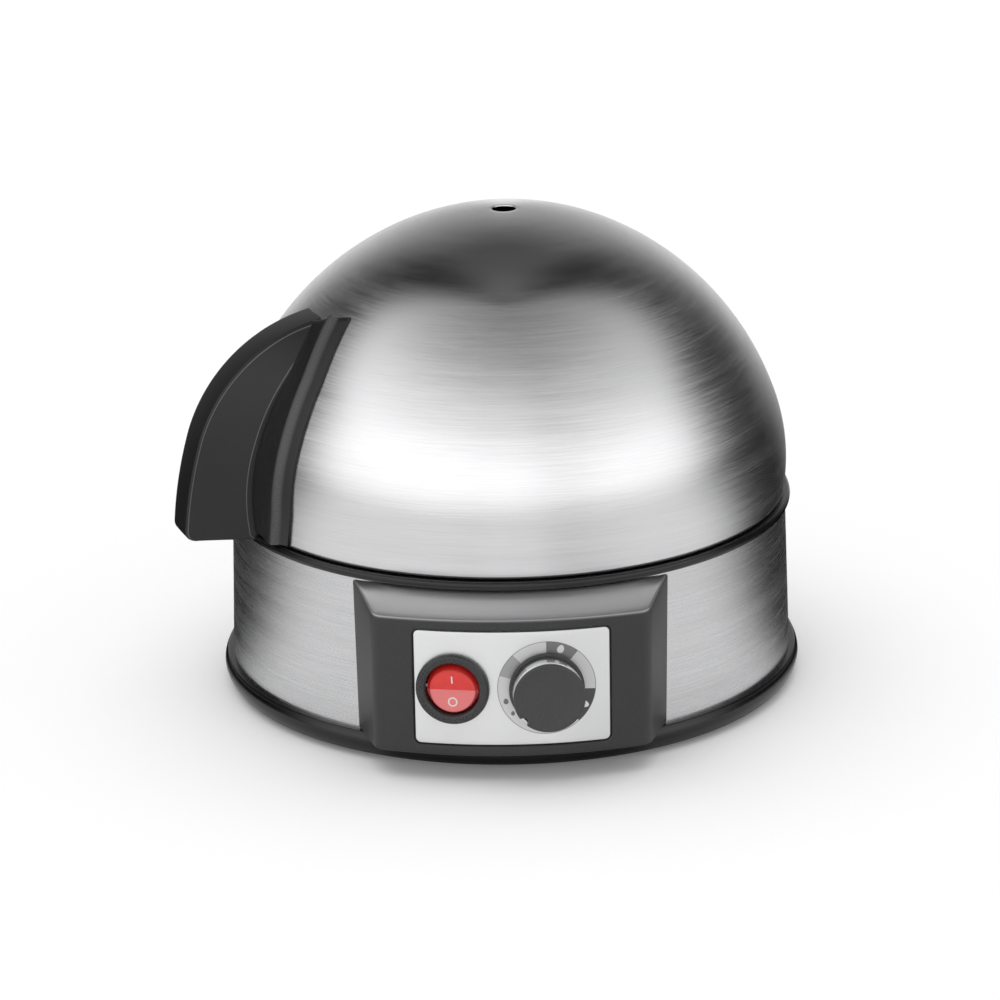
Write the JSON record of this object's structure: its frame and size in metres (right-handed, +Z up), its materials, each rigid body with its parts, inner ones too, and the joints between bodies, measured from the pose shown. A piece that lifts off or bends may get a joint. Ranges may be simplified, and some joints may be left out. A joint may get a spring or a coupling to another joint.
{
  "type": "egg cooker",
  "caption": "Electric egg cooker: brushed steel dome lid with a black side handle, a steel band body, and a black front panel with a red rocker switch and a dial knob.",
  "frame": {"origin": "on the standing surface, on the axis of the dome and the round body", "axes": "+Z up along the dome's axis, -Y out of the control panel, +X to the right of someone facing the panel"},
  "size_m": [0.2025, 0.2166, 0.1558],
  "materials": {
    "dome_steel": "brushed around the axis",
    "handle_black": "satin",
    "screw_steel": "zinc plated",
    "gloss_black": "glossy",
    "band_steel": "brushed level",
    "cover_black": "matt",
    "rubber_black": "matt",
    "pan_steel": "spun, satin",
    "seal_rubber": "matt silicone",
    "tray_black": "satin",
    "sheet_steel": "plain sheet",
    "element_steel": "dull",
    "thermostat_aluminium": "satin",
    "fuse_sleeve": "woven glass sleeve",
    "panel_black": "satin with fine grain",
    "plate_silver": "satin, printed dial",
    "switch_black": "semi gloss",
    "rocker_red": "translucent, printed I and O",
    "contact_brass": "bright",
    "knob_black": "semi gloss",
    "knob_silver": "bright",
    "moulding_brown": "matt",
    "moulding_white": "matt",
    "lead_brown": "insulated lead",
    "lead_blue": "insulated lead",
    "lead_green": "green and yellow insulated lead"
  },
  "bodies": {
    "base": {"chassis_screws": "screw_steel", "pan_studs": "screw_steel", "stud_washers": "screw_steel", "stud_nuts": "screw_steel", "thermostat_studs": "screw_steel", "thermostat_nuts": "screw_steel", "panel_screws": "screw_steel", "block_screws": "screw_steel", "regulator_nut": "screw_steel", "rocker_pin": "screw_steel", "heater_pins": "screw_steel", "collar_ring": "gloss_black", "base_ring": "gloss_black", "body_band": "band_steel", "base_plate": "cover_black", "panel_frame": "cover_black", "rubber_feet": "rubber_black", "cord_bush": "rubber_black", "heating_pan": "pan_steel", "pan_seal": "seal_rubber", "heat_shield": "sheet_steel", "thermostat_strap": "sheet_steel", "fuse_clip": "sheet_steel", "heater_element": "element_steel", "thermostat": "thermostat_aluminium", "thermal_fuse": "fuse_sleeve", "panel_housing": "panel_black", "panel_plate": "plate_silver", "switch_body": "switch_black", "switch_blades": "contact_brass", "regulator_blades": "contact_brass", "block_sleeves": "contact_brass", "regulator_bushing": "contact_brass", "regulator_body": "moulding_brown", "terminal_block": "moulding_white", "lead_live": "lead_brown", "lead_switched": "lead_brown", "lead_thermostat": "lead_brown", "lead_fuse": "lead_brown", "lead_heater": "lead_brown", "lead_neutral": "lead_blue", "lead_lamp": "lead_blue", "lead_earth": "lead_green"},
    "lid": {"lid_dome": "dome_steel", "lid_handle": "handle_black", "handle_screws": "screw_steel", "handle_washers": "screw_steel"},
    "tray": {"egg_tray": "tray_black"},
    "knob": {"knob_core": "knob_black", "knob_sleeve": "knob_silver", "regulator_shaft": "screw_steel"},
    "rocker": {"switch_rocker": "rocker_red"}
  },
  "joints": [
    {"name": "lid_lift", "type": "slide", "parent": "base", "child": "lid", "axis": [0, 0, 1], "range_m": [0, 0.12]},
    {"name": "tray_lift", "type": "slide", "parent": "base", "child": "tray", "axis": [0, 0, 1], "range_m": [0, 0.03]},
    {"name": "knob_turn", "type": "hinge", "parent": "base", "child": "knob", "pos_m": [0.01058, -0.10333, 0.0312], "axis": [-0.0883, 0.9961, 0], "range_deg": [0, 264]},
    {"name": "rocker_tilt", "type": "hinge", "parent": "base", "child": "rocker", "pos_m": [-0.01793, -0.10022, 0.0312], "axis": [-0.9883, 0.1525, 0], "range_deg": [0, 14]}
  ]
}
